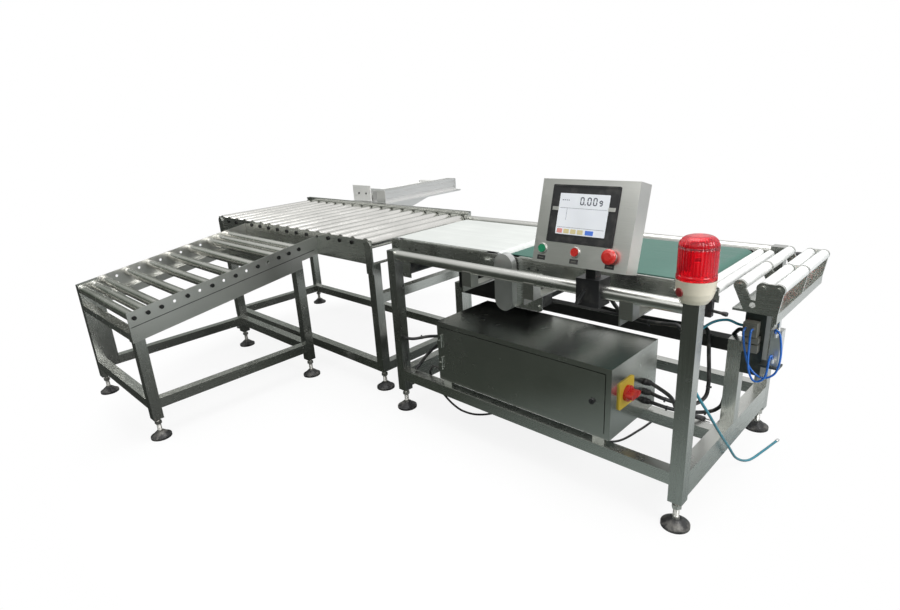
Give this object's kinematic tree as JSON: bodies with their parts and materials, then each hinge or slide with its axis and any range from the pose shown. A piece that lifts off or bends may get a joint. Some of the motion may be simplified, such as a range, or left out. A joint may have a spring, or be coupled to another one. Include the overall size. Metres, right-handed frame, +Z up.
{
  "type": "checkweigher",
  "caption": "Checkweigher line with weigh and infeed belt conveyors, control cabinet, operator panel, beacon, tilting roller cradle, roller table with pusher and sloping gravity roller table.",
  "frame": {"origin": "on the floor, below the middle of the machine's footprint", "axes": "+X runs along the line from the roller table to the tilting cradle, +Y points away from the operator's side, +Z is up"},
  "size_m": [2.881, 2.1202, 0.9681],
  "materials": {
    "brushed_frame": "brushed satin",
    "roller_steel": "turned satin",
    "foot_steel": "plated",
    "black_rubber": "moulded matt",
    "black_plastic": "matt",
    "green_belt": "smooth, slightly glossy",
    "white_belt": "smooth",
    "motor_paint": "painted",
    "cell_paint": "powder coated",
    "cover_metal": "satin",
    "cabinet_steel": "brushed",
    "yellow_plate": "smooth",
    "red_plastic": "smooth",
    "green_plastic": "smooth",
    "display_glass": "glossy front",
    "cream_plastic": "smooth",
    "red_dome": "clear ribbed",
    "mirror_metal": "polished",
    "white_roller": "smooth",
    "column_paint": "satin",
    "cylinder_metal": "anodised",
    "blue_tube": "smooth",
    "teal_hose": "smooth",
    "black_cable": "matt",
    "profile_metal": "anodised",
    "white_plate": "matt"
  },
  "bodies": {
    "frame": {"frame_legs": "brushed_frame", "frame_beams": "brushed_frame", "rail_tubes": "brushed_frame", "foot_spindles": "foot_steel", "foot_pads": "black_rubber", "weigh_frame": "brushed_frame", "infeed_frame": "brushed_frame", "weigh_belt": "white_belt", "infeed_belt": "green_belt", "load_cell": "cover_metal", "load_cell_housing": "cell_paint", "drive_motors": "motor_paint", "belt_cover": "cover_metal", "cabinet_body": "cabinet_steel", "switch_plate": "yellow_plate", "beacon_base": "cream_plastic", "beacon_dome": "red_dome", "transfer_rollers": "white_roller", "cradle_column": "column_paint", "cylinder_body": "cylinder_metal", "valve_block": "column_paint", "air_tubes": "blue_tube", "wiring": "black_cable", "table_rails": "brushed_frame", "table_axles": "foot_steel", "table_rollers": "roller_steel", "pusher_unit": "profile_metal", "slope_rails": "brushed_frame", "slope_axles": "foot_steel", "mains_lead": "black_cable", "mains_plug": "black_plastic", "air_hose": "teal_hose"},
    "door": {"cabinet_door": "cabinet_steel"},
    "door_lock": {"door_lock": "black_plastic"},
    "switch_handle": {"switch_handle": "red_plastic"},
    "panel": {"panel_arm": "black_plastic", "panel_box": "brushed_frame", "display": "display_glass"},
    "start_button": {"start_button": "green_plastic"},
    "stop_button": {"stop_button": "red_plastic"},
    "emergency_button": {"emergency_button": "red_plastic"},
    "reflector": {"beacon_reflector": "mirror_metal"},
    "weigh_drive_drum": {"weigh_drive_drum": "roller_steel"},
    "weigh_idler_drum": {"weigh_idler_drum": "roller_steel"},
    "infeed_drive_drum": {"infeed_drive_drum": "roller_steel"},
    "infeed_idler_drum": {"infeed_idler_drum": "roller_steel"},
    "cradle": {"cradle_frame": "brushed_frame", "cradle_rollers": "white_roller"},
    "cylinder_rod": {"cylinder_rod": "mirror_metal"},
    "pusher_plate": {"pusher_plate": "white_plate"},
    "gravity_roller_1": {"gravity_roller_1": "roller_steel"},
    "gravity_roller_2": {"gravity_roller_2": "roller_steel"},
    "gravity_roller_3": {"gravity_roller_3": "roller_steel"},
    "gravity_roller_4": {"gravity_roller_4": "roller_steel"},
    "gravity_roller_5": {"gravity_roller_5": "roller_steel"},
    "gravity_roller_6": {"gravity_roller_6": "roller_steel"},
    "gravity_roller_7": {"gravity_roller_7": "roller_steel"},
    "gravity_roller_8": {"gravity_roller_8": "roller_steel"},
    "gravity_roller_9": {"gravity_roller_9": "roller_steel"},
    "gravity_roller_10": {"gravity_roller_10": "roller_steel"}
  },
  "joints": [
    {"name": "door_swing", "type": "hinge", "parent": "frame", "child": "door", "pos_m": [0.382, -0.23365, 0.309], "axis": [0, 0, -1], "range_deg": [0, 110]},
    {"name": "lock_turn", "type": "hinge", "parent": "door", "child": "door_lock", "pos_m": [1.009, -0.22735, 0.309], "axis": [0, -1, 0], "range_deg": [0, 90]},
    {"name": "switch_turn", "type": "hinge", "parent": "frame", "child": "switch_handle", "pos_m": [1.0735, -0.13935, 0.32], "axis": [1, 0, 0], "range_deg": [0, 90]},
    {"name": "panel_tilt", "type": "hinge", "parent": "frame", "child": "panel", "pos_m": [1, -0.22735, 0.656], "axis": [-1, 0, 0], "range_deg": [-10, 20]},
    {"name": "start_press", "type": "slide", "parent": "panel", "child": "start_button", "axis": [0, 0.9659, -0.2588], "range_m": [0, 0.0015], "stiffness_N_per_m": 300},
    {"name": "stop_press", "type": "slide", "parent": "panel", "child": "stop_button", "axis": [0, 0.9659, -0.2588], "range_m": [0, 0.0015], "stiffness_N_per_m": 300},
    {"name": "emergency_press", "type": "slide", "parent": "panel", "child": "emergency_button", "axis": [0, 0.9659, -0.2588], "range_m": [0, 0.003], "stiffness_N_per_m": 400},
    {"name": "reflector_spin", "type": "hinge", "parent": "frame", "child": "reflector", "pos_m": [1.2805, -0.22735, 0.74], "axis": [0, 0, 1], "continuous": true},
    {"name": "weigh_drive_spin", "type": "hinge", "parent": "frame", "child": "weigh_drive_drum", "pos_m": [0.0305, 0.11765, 0.6587], "axis": [0, 1, 0], "continuous": true},
    {"name": "weigh_idler_spin", "type": "hinge", "parent": "frame", "child": "weigh_idler_drum", "pos_m": [0.5505, 0.11765, 0.6587], "axis": [0, 1, 0], "continuous": true},
    {"name": "infeed_drive_spin", "type": "hinge", "parent": "frame", "child": "infeed_drive_drum", "pos_m": [0.6125, 0.11765, 0.6587], "axis": [0, 1, 0], "continuous": true},
    {"name": "infeed_idler_spin", "type": "hinge", "parent": "frame", "child": "infeed_idler_drum", "pos_m": [1.2175, 0.11765, 0.6587], "axis": [0, 1, 0], "continuous": true},
    {"name": "cradle_tilt", "type": "hinge", "parent": "frame", "child": "cradle", "pos_m": [1.3305, 0.14765, 0.608], "axis": [0, -1, 0], "range_deg": [0, 12]},
    {"name": "rod_lift", "type": "slide", "parent": "frame", "child": "cylinder_rod", "axis": [0, 0, 1], "range_m": [0, 0.0106]},
    {"name": "pusher_stroke", "type": "slide", "parent": "frame", "child": "pusher_plate", "axis": [0, -1, 0], "range_m": [0, 0.415]},
    {"name": "gravity_spin_1", "type": "hinge", "parent": "frame", "child": "gravity_roller_1", "pos_m": [-0.778, -1.02141, 0.51187], "axis": [1, 0, 0], "continuous": true},
    {"name": "gravity_spin_2", "type": "hinge", "parent": "frame", "child": "gravity_roller_2", "pos_m": [-0.778, -0.969, 0.5197], "axis": [1, 0, 0], "continuous": true},
    {"name": "gravity_spin_3", "type": "hinge", "parent": "frame", "child": "gravity_roller_3", "pos_m": [-0.778, -0.91658, 0.52754], "axis": [1, 0, 0], "continuous": true},
    {"name": "gravity_spin_4", "type": "hinge", "parent": "frame", "child": "gravity_roller_4", "pos_m": [-0.778, -0.81174, 0.54321], "axis": [1, 0, 0], "continuous": true},
    {"name": "gravity_spin_5", "type": "hinge", "parent": "frame", "child": "gravity_roller_5", "pos_m": [-0.778, -0.70691, 0.55887], "axis": [1, 0, 0], "continuous": true},
    {"name": "gravity_spin_6", "type": "hinge", "parent": "frame", "child": "gravity_roller_6", "pos_m": [-0.778, -0.60207, 0.57454], "axis": [1, 0, 0], "continuous": true},
    {"name": "gravity_spin_7", "type": "hinge", "parent": "frame", "child": "gravity_roller_7", "pos_m": [-0.778, -0.49723, 0.59021], "axis": [1, 0, 0], "continuous": true},
    {"name": "gravity_spin_8", "type": "hinge", "parent": "frame", "child": "gravity_roller_8", "pos_m": [-0.778, -0.3924, 0.60588], "axis": [1, 0, 0], "continuous": true},
    {"name": "gravity_spin_9", "type": "hinge", "parent": "frame", "child": "gravity_roller_9", "pos_m": [-0.778, -0.33998, 0.61371], "axis": [1, 0, 0], "continuous": true},
    {"name": "gravity_spin_10", "type": "hinge", "parent": "frame", "child": "gravity_roller_10", "pos_m": [-0.778, -0.28756, 0.62155], "axis": [1, 0, 0], "continuous": true}
  ],
  "couplings": [
    {"joint": "weigh_idler_spin", "follows": "weigh_drive_spin", "ratio": 1},
    {"joint": "infeed_idler_spin", "follows": "infeed_drive_spin", "ratio": 1},
    {"joint": "rod_lift", "follows": "cradle_tilt", "m_per_rad": 0.05}
  ]
}
